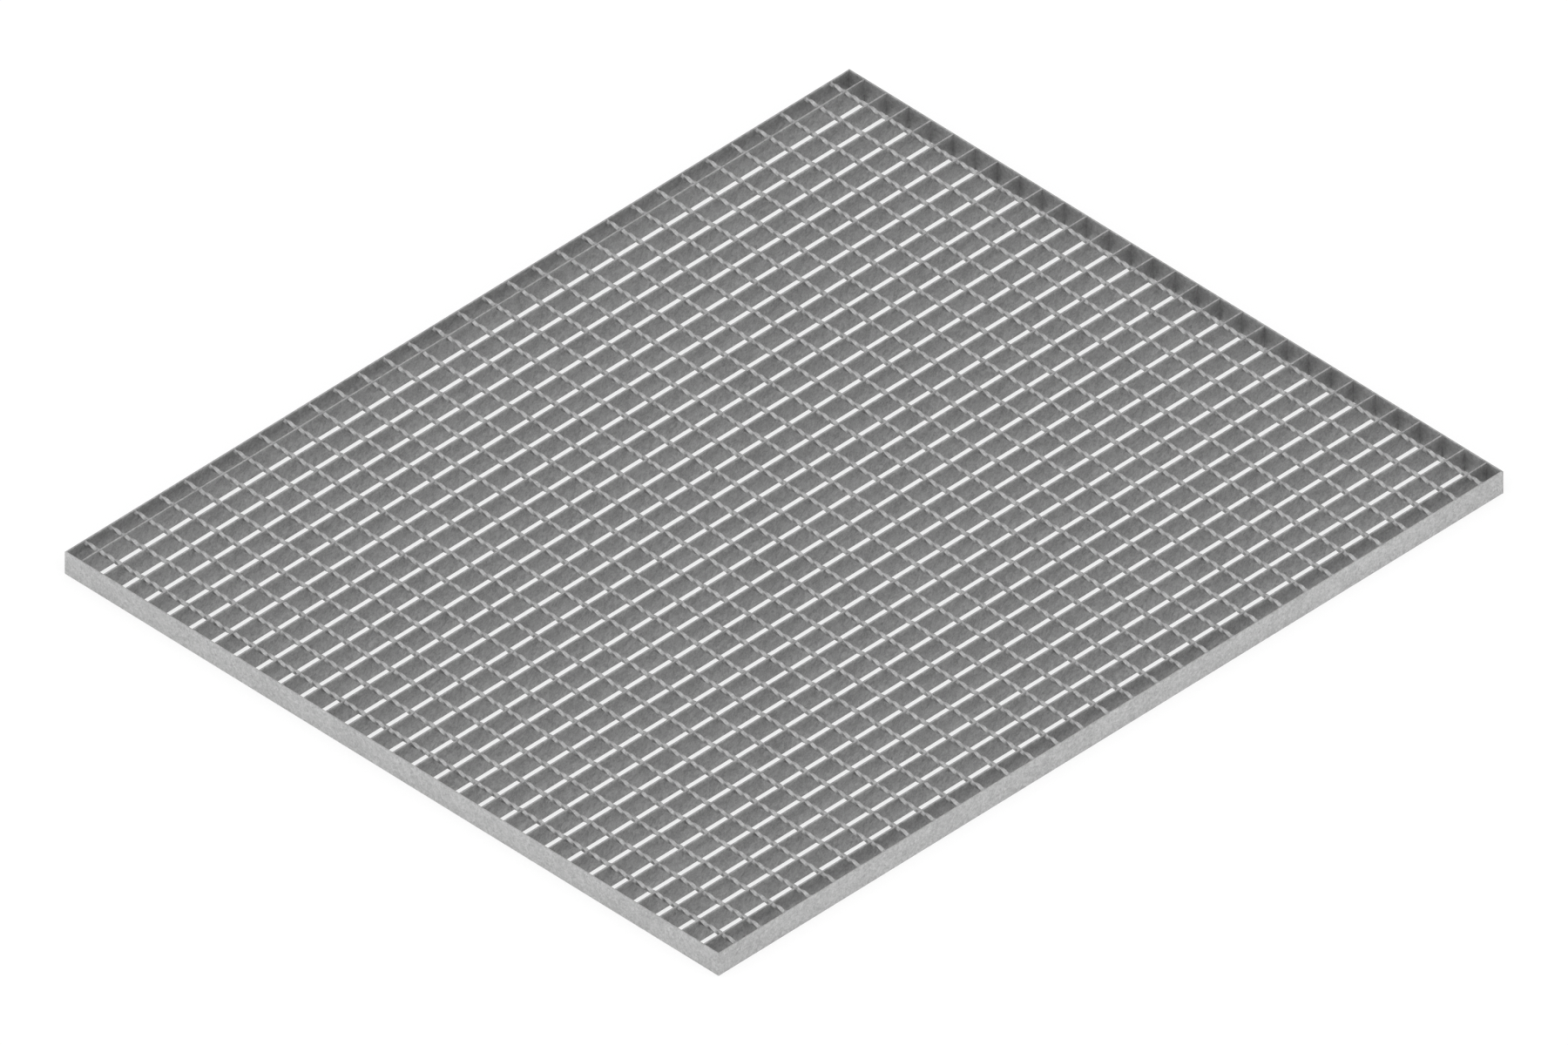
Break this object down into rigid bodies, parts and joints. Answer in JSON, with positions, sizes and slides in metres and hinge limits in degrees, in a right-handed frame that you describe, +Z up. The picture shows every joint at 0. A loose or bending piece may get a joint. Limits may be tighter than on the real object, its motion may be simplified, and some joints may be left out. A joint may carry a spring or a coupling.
{
  "type": "steel grating panel",
  "caption": "Flat rectangular steel grating panel: upright flat bearing bars crossed by twisted rods, closed in by flat banding.",
  "frame": {"origin": "middle of the underside, on the floor the panel lies on", "axes": "+X along the bearing bars (the 1200 mm side), +Y along the twisted cross bars (the 1000 mm side), +Z up to the walking face"},
  "size_m": [1.2, 1, 0.03],
  "materials": {
    "mesh_steel": "hot-dip galvanised, dull grey zinc with a fine mottle",
    "banding_steel": "hot-dip galvanised, dull grey zinc with a fine mottle"
  },
  "bodies": {
    "root": {"mesh_section_1": "mesh_steel", "mesh_section_2": "mesh_steel", "mesh_section_3": "mesh_steel", "end_banding_left": "banding_steel", "end_banding_right": "banding_steel", "side_banding_near": "banding_steel", "side_banding_far": "banding_steel"}
  },
  "joints": []
}
